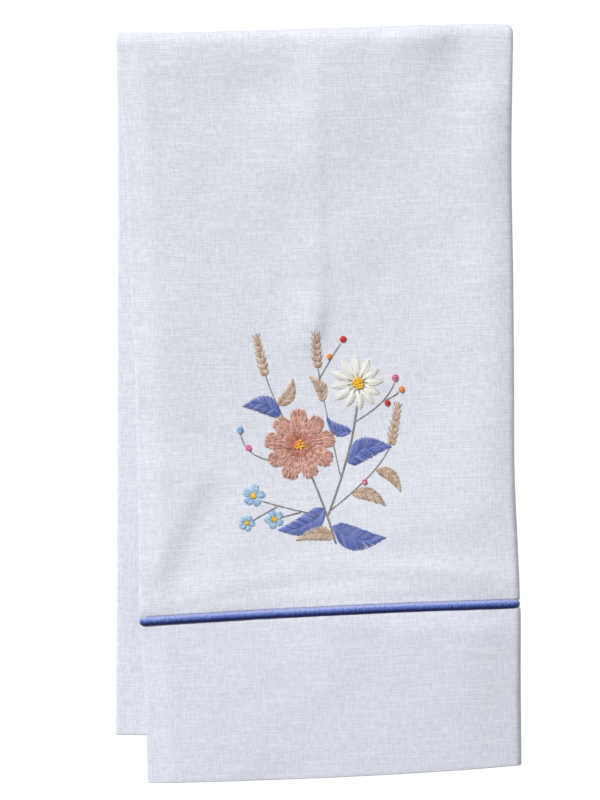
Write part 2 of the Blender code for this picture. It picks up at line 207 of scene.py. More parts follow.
BACK = Leg(BACK_LINES)
FRONT = Leg(FRONT_LINES)
SEAM = FRONT.at("seam")
FOLD_LEFT, FOLD_RIGHT, _, _ = FRONT.line(0.0)
FOLD_WAY = (FOLD_RIGHT - FOLD_LEFT) / np.linalg.norm(FOLD_RIGHT - FOLD_LEFT)
FOLD_OUT = np.array([-FOLD_WAY[1], FOLD_WAY[0]])
SEAM_LEFT, SEAM_RIGHT, _, _ = FRONT.line(SEAM)
BACK_END_LEFT, BACK_END_RIGHT, _, _ = BACK.line(BACK.at("back_hem"))
FOLD_RADIUS = HALF_STACK - PANEL_DEPTH
# cloth that goes round the crosswise fold, a half oval
FOLD_ARC = math.pi * FOLD_RADIUS * math.sqrt((1 + (1 + FOLD_STRETCH) ** 2) / 2)


def height_on(left, right, x):
    """Y of the straight line through left and right, at x."""
    return left[1] + (right[1] - left[1]) * (x - left[0]) / (right[0] - left[0])


def crease_relief(x, y):
    """Sum of the ridges and troughs at points of the front leg."""
    total = np.full_like(x, PUFF)
    for crease in CREASES:
        way = np.array([crease.x2 - crease.x1, crease.y2 - crease.y1])
        length = np.hypot(*way)
        way = way / length
        along = (x - crease.x1) * way[0] + (y - crease.y1) * way[1]
        aside = (x - crease.x1) * way[1] - (y - crease.y1) * way[0]  # > 0 to the right
        share = np.clip(along / length, 0.0, 1.0)
        aside = aside + 4 * share * (1 - share) * crease.bow
        reach = np.where(aside > 0, crease.reach_right, crease.reach_left)
        past_end = np.maximum(0.0, np.maximum(-along, along - length))
        total = total + crease.height * np.exp(-((aside / reach) ** 2) - (past_end / crease.fade) ** 2)
    return total


class Unevenness:
    """Slow, uneven rise and fall of pressed linen: waves of random length and way, all small."""

    def __init__(self, seed, count, shortest, longest, way, spread):
        rng = np.random.default_rng(seed)
        lengths = rng.uniform(shortest, longest, count)
        ways = np.radians(rng.normal(way, spread, count))
        self.turns = 2 * math.pi / lengths
        self.x_share, self.y_share = np.cos(ways), np.sin(ways)
        self.phases = rng.uniform(0, 2 * math.pi, count)
        self.scale = 1 / math.sqrt(count)

    def read(self, x, y):
        total = np.zeros_like(x)
        for turn, x_share, y_share, phase in zip(self.turns, self.x_share, self.y_share, self.phases):
            total = total + np.sin(turn * (x * x_share + y * y_share) + phase)
        return total * self.scale


PRESSED = Unevenness(seed=4, count=26, shortest=10.0, longest=46.0, way=140.0, spread=40.0)


def lift(x, y, z, from_left, from_right):
    """How far the middle of a layer at height z moves up from the bare stack."""
    left = ease(*LEFT_SETTLE_RAMP, from_left) * ease(LEFT_FLAP_DEPTH, LEVELS[2], z)
    right = ease(*RIGHT_SETTLE_RAMP, from_right) * np.interp(z, (PANEL_DEPTH, LEVELS[0]), (0, 1))
    moved = -LEFT_SETTLE * left - RIGHT_SETTLE * right
    above_seam = y - height_on(SEAM_LEFT, SEAM_RIGHT, x)
    humps = []
    for foot, top, far_top, far_foot in (SEAM_RAMP, PANEL_RAMP):
        humps.append(ease(foot, top, above_seam) * ease(far_foot, far_top, above_seam))
    hump = humps[0] + (humps[1] - humps[0]) * np.interp(z, LEVELS[2:], (0, 1))
    crown = SEAM_CROWN * ease(*LEFT_CROWN_RAMP, from_left) * ease(*RIGHT_CROWN_RAMP, from_right)
    moved += hump * (np.interp(z, LEVELS, SEAM_LIFTS) + crown * np.interp(z, LEVELS, (0, 0, 1, 1)))
    past_end = height_on(BACK_END_LEFT, BACK_END_RIGHT, x) - y
    moved -= OVERHANG_SINK * ease(0.0, OVERHANG_REACH, past_end) * np.interp(z, LEVELS, (0, 1, 1, 1))
    on_flap = np.interp(z, (PANEL_DEPTH, LEFT_FLAP_DEPTH, LEVELS[0]), (0, 1, 0))
    rise = STRIP_RISE[0] + (STRIP_RISE[1] - STRIP_RISE[0]) * ease(0.0, STRIP_REACH, from_left)
    moved += on_flap * rise * ease(STRIP_END, STRIP_REACH, from_left) * ease(*STRIP_FADE, y)
    loose = crease_relief(x, y) + UNEVEN_HEIGHT * PRESSED.read(x, y)
    moved += loose * np.interp(z, LEVELS, CREASE_SHARES)
    return moved


# ---------------------------------------------------------------- mesh lines across the cloth

Columns = namedtuple("Columns", "left_flap left_fold panel right_fold right_flap")


def shares_of(steps):
    return np.arange(steps) / steps


def flap_shares(steps):
    """Mesh lines over a flap, closer at its hem: 0 at the hemmed edge, 1 at the fold."""
    hem = np.array(HEM_COLUMNS) / LEFT_FLAP
    return np.concatenate([hem, np.linspace(hem[-1], 1.0, steps + 1)[1:-1]])


def columns(flap_steps, fold_steps, panel_steps):
    """Mesh lines across the whole cloth; the right fold is the rounder and has four more."""
    near = flap_shares(flap_steps)
    far = np.concatenate([[0.0], 1.0 - near[::-1]])
    return Columns(near, shares_of(fold_steps), shares_of(panel_steps), shares_of(fold_steps + 4), far)


def section(width, shape, left_fold, right_fold, inset):
    """One crosswise section of the cloth's middle, from the left flap's hem to the right flap's.

    It gives, for each mesh line, the distance from the left edge, the depth below the outer face,
    the run under the right flap, the turn of the face side and the place on the flat cloth.
    """
    left_centre, right_centre = inset + left_fold, width - inset - right_fold
    flap_end = width - (FLAT_WIDTH - LEFT_FLAP - width)
    left_middle = (PANEL_DEPTH + LEFT_FLAP_DEPTH) / 2
    right_middle = (PANEL_DEPTH + RIGHT_FLAP_DEPTH) / 2
    quarter = math.pi / 2

    across_flap = LEFT_FLAP + (left_centre - LEFT_FLAP) * shape.left_flap
    turn_left = quarter + math.pi * shape.left_fold
    across_panel = left_centre + (right_centre - left_centre) * shape.panel
    turn_right = -quarter + math.pi * shape.right_fold
    across_far = right_centre + (flap_end - right_centre) * shape.right_flap

    across = np.concatenate([
        across_flap,
        left_centre + left_fold * np.cos(turn_left),
        across_panel,
        right_centre + right_fold * np.cos(turn_right),
        across_far,
    ])
    depth = np.concatenate([
        np.full_like(across_flap, LEFT_FLAP_DEPTH),
        left_middle + (LEFT_FLAP_DEPTH - left_middle) * np.sin(turn_left),
        np.full_like(across_panel, PANEL_DEPTH),
        right_middle + (RIGHT_FLAP_DEPTH - right_middle) * np.sin(turn_right),
        np.full_like(across_far, RIGHT_FLAP_DEPTH),
    ])
    run = np.concatenate([np.zeros(len(across) - len(across_far)), right_centre - across_far])
    turn = np.concatenate([
        np.full_like(across_flap, quarter),
        turn_left,
        np.full_like(across_panel, -quarter),
        turn_right,
        np.full_like(across_far, quarter),
    ])
    flat = np.concatenate([
        LEFT_FLAP - across_flap,
        LEFT_FLAP + left_centre * (2 * shape.left_fold - 1),
        LEFT_FLAP + across_panel,
        LEFT_FLAP + width + (width - right_centre) * (2 * shape.right_fold - 1),
        LEFT_FLAP + 2 * width - across_far,
    ])
    return across, depth, run, turn, flat


def lay(
    leg, along, turned, shape, left_fold=LEFT_FOLD_ROUND, right_fold=RIGHT_FOLD_ROUND, inset=PLY / 2
):
    """One crosswise row of placed points, with their face directions and places on the flat cloth.

    turned is the angle round the crosswise fold: 0 on the back leg, pi on the front leg.
    """
    left, right, bow, skew = leg.line(along)
    width = np.hypot(*(right - left))
    row_way = (right - left) / width
    row_up = np.array([-row_way[1], row_way[0]])
    across, depth, run, turn, flat = section(width, shape, left_fold, right_fold, inset)
    share = across / width
    stray = curve_through(STRAY_SHARES, STRAY_OFFSETS, share) * ease(STRAY_REACH, 0.0, along)
    radius = HALF_STACK - depth
    reach = radius * (1 + FOLD_STRETCH * (radius / FOLD_RADIUS) ** 2)
    spot = left + np.outer(across, row_way) + np.outer(4 * share * (1 - share) * bow + run * skew, row_up)
    spot = spot + np.outer(reach * math.sin(turned) + stray, FOLD_OUT)
    height = HALF_STACK - radius * math.cos(turned)
    height = height + lift(spot[:, 0], spot[:, 1], height, across, width - across)
    inward = np.append(-FOLD_OUT * math.sin(turned), math.cos(turned))
    face = np.outer(np.cos(turn), np.append(row_way, 0.0)) + np.outer(np.sin(turn), inward)
    return np.column_stack([spot, height]) - ORIGIN, face, flat


# ---------------------------------------------------------------- nodes and finishes


def add(tree, kind, links=None, **settings):
    """Add a node: settings are its properties, links its inputs by name or number."""
    made = tree.nodes.new(kind)
    for key, value in settings.items():
        setattr(made, key, value)
    for socket, value in (links or {}).items():
        if isinstance(value, bpy.types.NodeSocket):
            tree.links.new(value, made.inputs[socket])
        else:
            made.inputs[socket].default_value = value
    return made


def linear(code):
    """A colour written as sRGB hex, as linear red, green, blue and full opacity."""
    values = [int(code[i : i + 2], 16) / 255 for i in (1, 3, 5)]
    return tuple(v / 12.92 if v <= 0.04045 else ((v + 0.055) / 1.055) ** 2.4 for v in values) + (1.0,)


def new_material(name):
    made = bpy.data.materials.new(name)
    made.use_nodes = True
    tree = made.node_tree
    return made, tree, tree.nodes["Principled BSDF"]


# The threads as drawn: their pattern's size across and along the cloth, where it starts, its weight
Yarn = namedtuple("Yarn", "name across along shift weight")
YARNS = (
    Yarn("warp", 0.80, 3.4, 0.0, 1.0),
    Yarn("warp_long", 0.95, 11.0, 41.3, 0.35),
    Yarn("weft", 3.0, 0.58, 3.1, 1.0),
    Yarn("weft_long", 12.0, 0.75, 7.7, 0.45),
    Yarn("crossings", 0.75, 0.62, 12.3, 0.7),
)
SLUB_LENGTH = 16.0
SLUB_WIDTH = 0.9
SLUB_RARITY = (0.62, 0.78)  # the noise that starts a slub, and that fills it
SLUB_TONE = 0.09
RIB_PITCH = 0.98  # between the fine ribs that evenly laid threads form
RIB_TONE = 0.10
RIB_PATCHES = (("X", 13.0, 21.0), ("Y", 24.0, 11.0))  # the way across the ribs, their patches' size
RIB_RARITY = (0.48, 0.60)
THREAD_TONES = (0.38, 0.62)  # thread noise that takes the darkest and the lightest colour


def streaks(tree, flat, across, along, start, detail):
    """Soft noise on the flat cloth, across by along in millimetres, from the place start."""
    place = add(tree, "ShaderNodeMapping", {
        "Vector": flat, "Location": (*start, 0.0), "Scale": (1 / (across * MM), 1 / (along * MM), 1.0),
    })
    return add(tree, "ShaderNodeTexNoise", {
        "Vector": place.outputs[0], "Scale": 1.0, "Detail": detail, "Roughness": 0.5,
    }, noise_dimensions="2D").outputs["Fac"]


def woven_linen(name, light, shade, weave_depth):
    """Bleached plain-weave linen, washed and pressed: dry and matt, with uneven, slubbed threads.

    Real threads lie 0.55 mm apart, finer than a picture of the whole towel can show, so they are
    drawn up to twice as thick. The pattern reads the cloth's own map, warp along its V.
    """
    made, tree, shader = new_material(name)
    flat = add(tree, "ShaderNodeUVMap", uv_map="flat_cloth").outputs["UV"]
    threads = 0.0
    for yarn in YARNS:
        fibre = streaks(tree, flat, yarn.across, yarn.along, (yarn.shift, yarn.shift * 0.7), detail=1.0)
        share = yarn.weight / sum(one.weight for one in YARNS)
        threads = add(tree, "ShaderNodeMath", {
            0: fibre, 1: share, 2: threads,
        }, operation="MULTIPLY_ADD").outputs[0]

    # a few weft threads are thicker for a finger's width, and lie paler there
    slubs = add(tree, "ShaderNodeMapRange", {
        "Value": streaks(tree, flat, SLUB_LENGTH, SLUB_WIDTH, (19.9, 5.0), detail=0.0),
        "From Min": SLUB_RARITY[0], "From Max": SLUB_RARITY[1], "To Max": SLUB_TONE,
    })
    threads = add(tree, "ShaderNodeMath", {0: threads, 1: slubs.outputs[0]}, operation="ADD").outputs[0]

    # in patches the threads lie evenly, and show as fine ribs
    for direction, across, along in RIB_PATCHES:
        place = add(tree, "ShaderNodeMapping", {
            "Vector": flat, "Scale": (1 / (RIB_PITCH * MM), 1 / (RIB_PITCH * MM), 1.0),
        })
        ribs = add(tree, "ShaderNodeTexWave", {
            "Vector": place.outputs[0], "Scale": 2 * math.pi / 20, "Distortion": 0.9, "Detail": 1.0,
        }, bands_direction=direction)
        even = add(tree, "ShaderNodeMapRange", {
            "Value": streaks(tree, flat, across, along, (across, along), detail=1.0),
            "From Min": RIB_RARITY[0], "From Max": RIB_RARITY[1], "To Max": RIB_TONE,
        })
        centred = add(tree, "ShaderNodeMath", {0: ribs.outputs["Fac"], 1: 0.5}, operation="SUBTRACT")
        threads = add(tree, "ShaderNodeMath", {
            0: centred.outputs[0], 1: even.outputs[0], 2: threads,
        }, operation="MULTIPLY_ADD").outputs[0]

    tone = add(tree, "ShaderNodeMapRange", {
        "Value": threads, "From Min": THREAD_TONES[0], "From Max": THREAD_TONES[1],
    })
    base = add(tree, "ShaderNodeMix", {
        "Factor": tone.outputs[0], 6: linear(shade), 7: linear(light),
    }, data_type="RGBA")
    bump = add(tree, "ShaderNodeBump", {"Height": threads, "Strength": 1.0, "Distance": weave_depth * MM})
    tree.links.new(base.outputs[2], shader.inputs["Base Color"])
    tree.links.new(bump.outputs[0], shader.inputs["Normal"])
    shader.inputs["Roughness"].default_value = 0.92
    shader.inputs["IOR"].default_value = 1.46
    shader.inputs["Sheen Weight"].default_value = 0.12
    shader.inputs["Sheen Roughness"].default_value = 0.5
    return made


FLECK_SLANT = 24  # degrees, of the satin's long surface threads
FLECKS_EACH_MM = (1.4, 0.62)  # across and along them, twice as coarse as in real satin
FLECK_WEIGHT = 1.1  # how far the flecks blur the change from one blue to the next
# painted light round the cord: from painted navy shade on the band's side, through blue, to a painted pale
# highlight on the body's side
NAVY_SHADE_TO_BLUE = (0.0, 0.85)  # places round the cord where each change starts and ends
BLUE_TO_PALE_HIGHLIGHT = (0.78, 1.45)


def satin_cover(name, pale, blue, navy):
    """Bias-cut rayon satin over a cotton cord, with soft gloss. Its base colour is painted pale on the side
    towards the body, a painted highlight, and deep navy where it turns down to the band, painted shade.
    Its threads show as slanting flecks.
    """
    made, tree, shader = new_material(name)
    along = add(tree, "ShaderNodeUVMap", uv_map="along_cord").outputs["UV"]
    place = add(tree, "ShaderNodeMapping", {
        "Vector": along,
        "Rotation": (0.0, 0.0, math.radians(FLECK_SLANT)),
        "Scale": (FLECKS_EACH_MM[0] / MM, FLECKS_EACH_MM[1] / MM, 1.0),
    })
    flecks = add(tree, "ShaderNodeTexNoise", {
        "Vector": place.outputs[0], "Scale": 1.0, "Detail": 2.0, "Roughness": 0.6,
    }, noise_dimensions="2D").outputs["Fac"]
    # painted light: 1 on the cord's side towards the body, where the highlight is painted, -1 towards the
    # band, where the shade is painted
    painted_light_towards_body = add(tree, "ShaderNodeAttribute", attribute_name="painted_light_towards_body").outputs["Fac"]
    painted_light_round_cord = add(tree, "ShaderNodeMath", {
        0: flecks, 1: FLECK_WEIGHT, 2: painted_light_towards_body,
    }, operation="MULTIPLY_ADD").outputs[0]
    # the navy is painted shade and the pale colour a painted highlight
    lower, upper = (
        add(tree, "ShaderNodeMapRange", {
            "Value": painted_light_round_cord, "From Min": start, "From Max": end,
        }, interpolation_type="SMOOTHSTEP").outputs[0]
        for start, end in (NAVY_SHADE_TO_BLUE, BLUE_TO_PALE_HIGHLIGHT)
    )
    deep = add(tree, "ShaderNodeMix", {"Factor": lower, 6: linear(navy), 7: linear(blue)}, data_type="RGBA")
    base = add(tree, "ShaderNodeMix", {
        "Factor": upper, 6: deep.outputs[2], 7: linear(pale),
    }, data_type="RGBA").outputs[2]
    bump = add(tree, "ShaderNodeBump", {"Height": flecks, "Strength": 0.8, "Distance": 0.12 * MM})
    tree.links.new(base, shader.inputs["Base Color"])
    tree.links.new(bump.outputs[0], shader.inputs["Normal"])
    shader.inputs["Roughness"].default_value = 0.5
    shader.inputs["IOR"].default_value = 1.42
    shader.inputs["Sheen Weight"].default_value = 0.1
    shader.inputs["Sheen Roughness"].default_value = 0.3
    return made


FIBRE_LENGTH = 0.5  # of the mottling that its fibres give, drawn coarser than real
FIBRE_WEIGHT = 1.2  # how much its fibres count beside each stitch's own shade, which is 0 to 1
STITCH_TONES = (0.4, 1.6)


def twisted_thread(name, light, dark, roughness=0.42):
    """Two-ply rayon or cotton thread, mottled by its fibres; each stitch's colour is also painted lighter
    or darker at random, a painted sheen for how each stitch catches the light.
    """
    made, tree, shader = new_material(name)
    # shade: each stitch's random painted sheen, 0 to 1
    shade = add(tree, "ShaderNodeAttribute", attribute_name="shade").outputs["Fac"]
    spot = add(tree, "ShaderNodeTexCoord").outputs["Object"]
    fibres = add(tree, "ShaderNodeTexNoise", {
        "Vector": spot, "Scale": 1 / (FIBRE_LENGTH * MM), "Detail": 2.0,
    }).outputs["Fac"]
    mottled = add(tree, "ShaderNodeMath", {
        0: fibres, 1: FIBRE_WEIGHT, 2: shade,
    }, operation="MULTIPLY_ADD").outputs[0]
    tone = add(tree, "ShaderNodeMapRange", {
        "Value": mottled, "From Min": STITCH_TONES[0], "From Max": STITCH_TONES[1],
    }).outputs[0]
    base = add(tree, "ShaderNodeMix", {
        "Factor": tone, 6: linear(dark), 7: linear(light),
    }, data_type="RGBA").outputs[2]
    bump = add(tree, "ShaderNodeBump", {"Height": fibres, "Strength": 0.5, "Distance": 0.08 * MM})
    tree.links.new(base, shader.inputs["Base Color"])
    tree.links.new(bump.outputs[0], shader.inputs["Normal"])
    shader.inputs["Roughness"].default_value = roughness
    shader.inputs["IOR"].default_value = 1.5
    shader.inputs["Sheen Weight"].default_value = 0.2
    return made


# ---------------------------------------------------------------- sheets


def keep(name, points, faces, maps, finish):
    """A mesh object from points in millimetres, with one map of per-point places on the cloth."""
    mesh = bpy.data.meshes.new(name)
    mesh.from_pydata((points * MM).tolist(), [], faces)
    map_name, places = maps
    loops = np.empty(len(mesh.loops), dtype=np.int32)
    mesh.loops.foreach_get("vertex_index", loops)
    layer = mesh.uv_layers.new(name=map_name)
    layer.data.foreach_set("uv", (places[loops] * MM).astype(np.float32).ravel())
    mesh.materials.append(finish)
    mesh.shade_smooth()
    made = bpy.data.objects.new(name, mesh)
    bpy.context.scene.collection.objects.link(made)
    return made


def unit(vectors):
    return vectors / np.linalg.norm(vectors, axis=-1, keepdims=True)


def walk(spots):
    """The distance walked along a row of points, at each of them."""
    return np.concatenate([[0.0], np.cumsum(np.linalg.norm(np.diff(spots, axis=0), axis=1))])


def read_along(walked, values, distance):
    """Values given at each point of a walk, read at one distance along it or at several."""
    return np.stack([np.interp(distance, walked, column) for column in values.T], axis=-1)


def closed_sheet(name, middle, face, places, front, back, finish):
    """A thin closed sheet about a grid of middle points, with rounded rims.

    front and back are how far the face side and the wrong side stand off the middle.
    """
    rows, lines = middle.shape[:2]
    step_across, step_along = np.gradient(middle, axis=1), np.gradient(middle, axis=0)
    normal = unit(np.cross(step_across, step_along))
    outward = 1.0 if np.sum(normal * face) > 0 else -1.0
    normal = normal * outward
    face_side = middle + normal * front[..., None]
    wrong_side = middle - normal * back[..., None]

    # the rim runs once round the grid
    around = [(0, c) for c in range(lines - 1)] + [(r, lines - 1) for r in range(rows - 1)]
    around += [(rows - 1, c) for c in range(lines - 1, 0, -1)] + [(r, 0) for r in range(rows - 1, 0, -1)]
    r, c = np.array(around).T
    out = np.zeros((len(around), 3))
    for number, last, step in ((r, rows - 1, step_along), (c, lines - 1, step_across)):
        onward = unit(step[r, c])
        out += (number == 0)[:, None] * -onward + (number == last)[:, None] * onward
    out = unit(out)
    half = (front + back)[r, c][:, None] / 2
    centre = middle[r, c] + normal[r, c] * ((front - back)[r, c][:, None] / 2)
    rims = []
    for tilt in (math.radians(45), 0.0, math.radians(-45)):
        rims.append(centre + normal[r, c] * half * math.sin(tilt) + out * half * math.cos(tilt))
    points = np.concatenate([face_side.reshape(-1, 3), wrong_side.reshape(-1, 3), *rims])
    place = places.reshape(-1, 2)
    edge_place = places[r, c]
    place = np.concatenate([place, place, edge_place, edge_place, edge_place])

    index = np.arange(rows * lines).reshape(rows, lines)
    quads = np.stack([index[:-1, :-1], index[:-1, 1:], index[1:, 1:], index[1:, :-1]], axis=-1)
    quads = quads.reshape(-1, 4)
    if outward < 0:
        quads = quads[:, ::-1]
    faces = quads.tolist() + (quads[:, ::-1] + rows * lines).tolist()
    rings = [index[r, c]]
    for k in range(len(rims)):
        rings.append(2 * rows * lines + k * len(around) + np.arange(len(around)))
    rings.append(index[r, c] + rows * lines)
    for ring, after in zip(rings, rings[1:]):
        strip = np.stack([ring, after, np.roll(after, -1), np.roll(ring, -1)], axis=-1)
        faces += (strip if outward > 0 else strip[:, ::-1]).tolist()
    return keep(name, points, faces, ("flat_cloth", place), finish)


def hem_extra(distance):
    """Extra thickness on the wrong side at a distance in from a hemmed edge."""
    pressed = 1 - HEM_STITCH_PULL * np.exp(-(((distance - HEM_STITCH_LINE) / HEM_STITCH_REACH) ** 2))
    return HEM_EXTRA * pressed * ease(HEM_DEPTH + HEM_STEP[0], HEM_DEPTH + HEM_STEP[1], distance)


def seam_roll(distance):
    """How far the cloth turns down to its wrong side at a distance from the piping's middle."""
    return SEAM_ROLL * ease(SEAM_EDGE + SEAM_ROLL_REACH, SEAM_EDGE, distance) ** 1.5


# A crosswise row of the body: where it is laid, and how far it is from the hem and from the seam
Row = namedtuple("Row", "leg along turned from_end from_seam length")


def towel_body(finish):
    """The main cloth: up the back leg, round the crosswise fold and down to the piping."""
    shape = columns(flap_steps=16, fold_steps=8, panel_steps=102)
    back_steps, fold_steps, front_steps, close_steps = 64, 16, 138, 14
    end, last = BACK.at("back_hem"), SEAM - SEAM_EDGE
    into = np.concatenate([HEM_COLUMNS, np.linspace(HEM_COLUMNS[-1], end, back_steps + 1)[1:]])
    close = SEAM - CLOSE_TO_SEAM
    down = np.concatenate([
        np.linspace(0.0, close, front_steps + 1)[1:], np.linspace(close, last, close_steps + 1)[1:],
    ])
    rows = [Row(BACK, end - distance, 0.0, distance, end, distance) for distance in into]
    for i in range(1, fold_steps + 1):
        rows.append(Row(FRONT, 0.0, math.pi * i / fold_steps, end, end, end + FOLD_ARC * i / fold_steps))
    rows += [Row(FRONT, along, math.pi, end, SEAM - along, end + FOLD_ARC + along) for along in down]
    laid = [lay(row.leg, row.along, row.turned, shape) for row in rows]
    middle, face, flat = (np.array(part) for part in zip(*laid))
    from_end, from_seam, length = np.array([(row.from_end, row.from_seam, row.length) for row in rows]).T
    middle = middle - face * seam_roll(from_seam)[:, None, None]
    places = np.stack([flat, np.broadcast_to(length[:, None], flat.shape)], axis=-1)
    from_side = np.minimum(flat, FLAT_WIDTH - flat)
    extra = np.maximum(hem_extra(from_side), hem_extra(from_end)[:, None])
    front = np.full(flat.shape, PLY / 2)
    return closed_sheet("towel_body_cloth", middle, face, places, front, front + extra, finish)


def hem_band(finish):
    """The doubled band: its outer ply runs to the hem, turns there and runs back behind it."""
    shape = columns(flap_steps=14, fold_steps=8, panel_steps=96)
    start, end = SEAM + SEAM_EDGE, FRONT.at("front_hem") - BAND_PLY_OFFSET - BAND_PLY / 2
    close_steps, outer_steps, turn_steps, inner_steps = 12, 38, 8, 18
    close = SEAM + CLOSE_TO_SEAM
    outer = np.concatenate([
        np.linspace(start, close, close_steps + 1)[:-1], np.linspace(close, end, outer_steps + 1),
    ])
    inner = np.linspace(end, SEAM + SEAM_HALF, inner_steps + 1)[1:]
    # each stop: the place down the leg, 1 for the outer ply or -1 for the inner, and the way past the hem
    stops = [(along, 1.0, 0.0) for along in outer]
    for i in range(1, turn_steps):
        angle = math.pi * i / turn_steps
        stops.append((end, math.cos(angle), math.sin(angle)))
    stops += [(end, -1.0, 0.0)] + [(along, -1.0, 0.0) for along in inner]
    middle, face, places = [], [], []
    length = 0.0
    for i, (along, side, past) in enumerate(stops):
        spot, out, flat = lay(FRONT, along, math.pi, shape)
        ahead, _, _ = lay(FRONT, along + 1.0, math.pi, shape)
        onward = unit(ahead - spot)
        roll = seam_roll(abs(along - SEAM)) if side > 0 else 0.0
        middle.append(spot + out * (BAND_PLY_OFFSET * side - roll) + onward * (BAND_PLY_OFFSET * past))
        face.append(out * side + onward * past)
        if i > 0:
            length += math.hypot(along - stops[i - 1][0], BAND_PLY_OFFSET * (side - stops[i - 1][1]))
        places.append(np.column_stack([flat, np.full_like(flat, FOLD_ARC + end + length)]))
    middle, face, places = np.array(middle), np.array(face), np.array(places)
    half = np.full(middle.shape[:2], BAND_PLY / 2)
    return closed_sheet("hem_band_cloth", middle, face, places, half, half, finish)


# ---------------------------------------------------------------- piping

CORD_SIDES = 18
CORD_SPACING = 0.27  # between two rings of its mesh
WRAP_PITCH = 0.85  # between two slanting dents of the cover
WRAP_DEPTH = 0.035  # as a share of its thickness
WRAP_SLANT = 1.3  # how far the dents slant round the cord, as an angle of their pattern
WRAP_DRIFT = 0.16  # and how far they stray from one ring to the next
PLUMP_SHARE = 0.02  # how much its thickness wanders
PLUMP_KNOTS = 90
TIP_RINGS = ((0.96, 0.18, 0.3), (0.80, 0.34, 0.6))  # each one's width, reach and place on the map
TIP_POINT = (0.38, 0.8)  # the reach and the map place of the point that closes the tip


def piping_route():
    """The cord's middle line, with the way out of the cloth, the way along and the length so far."""
    half_rise = (PITCH + SEAM_LIFTS[3] - SEAM_LIFTS[2]) / 2
    inset = half_rise / 2 + PIPING_HALF_HEIGHT - PIPING_EDGE_PROUD
    right_fold = 2 * half_rise - PIPING_PROUD
    shape = Columns(shares_of(40), shares_of(24), shares_of(90), shares_of(32), np.arange(41) / 40)
    spots, face, _ = lay(FRONT, SEAM, math.pi, shape, half_rise, right_fold, inset)
    spots = spots + face * PIPING_PROUD
    walked = walk(spots)
    stops = np.linspace(0.0, walked[-1], int(walked[-1] / CORD_SPACING) + 1)
    path = read_along(walked, spots, stops)
    for _ in range(3):  # the joins of the straight pieces are eased
        path[1:-1] = (path[:-2] + 2 * path[1:-1] + path[2:]) / 4
    way = unit(np.gradient(path, axis=0))
    out = unit(np.cross(way, np.append(FOLD_OUT, 0.0)))
    return path, out, way, stops


def piping(finish):
    """The covered cord in the seam, from one flap's edge round both side folds to the other's."""
    path, out, way, stops = piping_route()
    side = unit(np.cross(out, way))
    rng = np.random.default_rng(21)
    drift = np.cumsum(rng.normal(0.0, WRAP_DRIFT, len(stops)))
    knots = np.linspace(0, stops[-1], PLUMP_KNOTS)
    plump = 1 + PLUMP_SHARE * np.interp(stops, knots, rng.normal(0, 1, PLUMP_KNOTS))
    angle = 2 * math.pi * np.arange(CORD_SIDES) / CORD_SIDES
    phase = 2 * math.pi * stops[:, None] / WRAP_PITCH + drift[:, None] + WRAP_SLANT * np.sin(angle)
    swell = plump[:, None] * (1 - WRAP_DEPTH * (0.5 - 0.5 * np.cos(phase)) ** 2)
    rings = path[:, None] + out[:, None] * (PIPING_HALF_HEIGHT * np.cos(angle) * swell)[..., None]
    rings = rings + side[:, None] * (PIPING_HALF_WIDTH * np.sin(angle) * swell)[..., None]

    # each end is drawn in to a rounded tip
    tips, points = [], []
    for ring, end, outward in ((rings[0], path[0], -way[0]), (rings[-1], path[-1], way[-1])):
        tips.append([end + (ring - end) * share + outward * reach for share, reach, _ in TIP_RINGS])
        points.append(end + outward * TIP_POINT[0])
    grid = np.concatenate([tips[0][::-1], rings, tips[1]])
    count = len(grid)
    index = np.arange(count * CORD_SIDES).reshape(count, CORD_SIDES)
    beside = np.roll(index, -1, axis=1)
    faces = np.stack([index[:-1], beside[:-1], beside[1:], index[1:]], axis=-1).reshape(-1, 4).tolist()
    for k in range(CORD_SIDES):
        faces.append([count * CORD_SIDES, int(beside[0, k]), int(index[0, k])])
        faces.append([count * CORD_SIDES + 1, int(index[-1, k]), int(beside[-1, k])])

    tip_places = np.array([place for _, _, place in TIP_RINGS])
    lengths = np.concatenate([-tip_places[::-1], stops, stops[-1] + tip_places])
    girth = math.pi * (PIPING_HALF_WIDTH + PIPING_HALF_HEIGHT)
    # the map runs up one side and down the other, so it has no jump round the cord
    round_place = girth * np.abs(((angle / math.pi) % 2) - 1)
    place = np.stack(np.broadcast_arrays(lengths[:, None], round_place[None, :]), axis=-1).reshape(-1, 2)
    place = np.concatenate([place, [[-TIP_POINT[1], 0.0], [stops[-1] + TIP_POINT[1], 0.0]]])
    spots = np.concatenate([grid.reshape(-1, 3), points])
    made = keep("piping_cord", spots, faces, ("along_cord", place), finish)
    # where the satin cover's painted highlight and painted shade go: 1 on the side towards the body, -1
    # towards the band
    painted_light_towards_body = np.concatenate([np.tile(np.sin(angle), count), [0.0, 0.0]])
    made.data.attributes.new("painted_light_towards_body", "FLOAT", "POINT").data.foreach_set("value", painted_light_towards_body)
    return made


# ---------------------------------------------------------------- stitches

Stitch = namedtuple("Stitch", "start end out arch girth shade")
THREAD_RADIUS = 0.21
SEWING_RADIUS = 0.15
END_THINNING = 0.45  # how much of its thickness a stitch loses at its ends
ROW_START = 0.2
STITCH_STRAY = 0.05


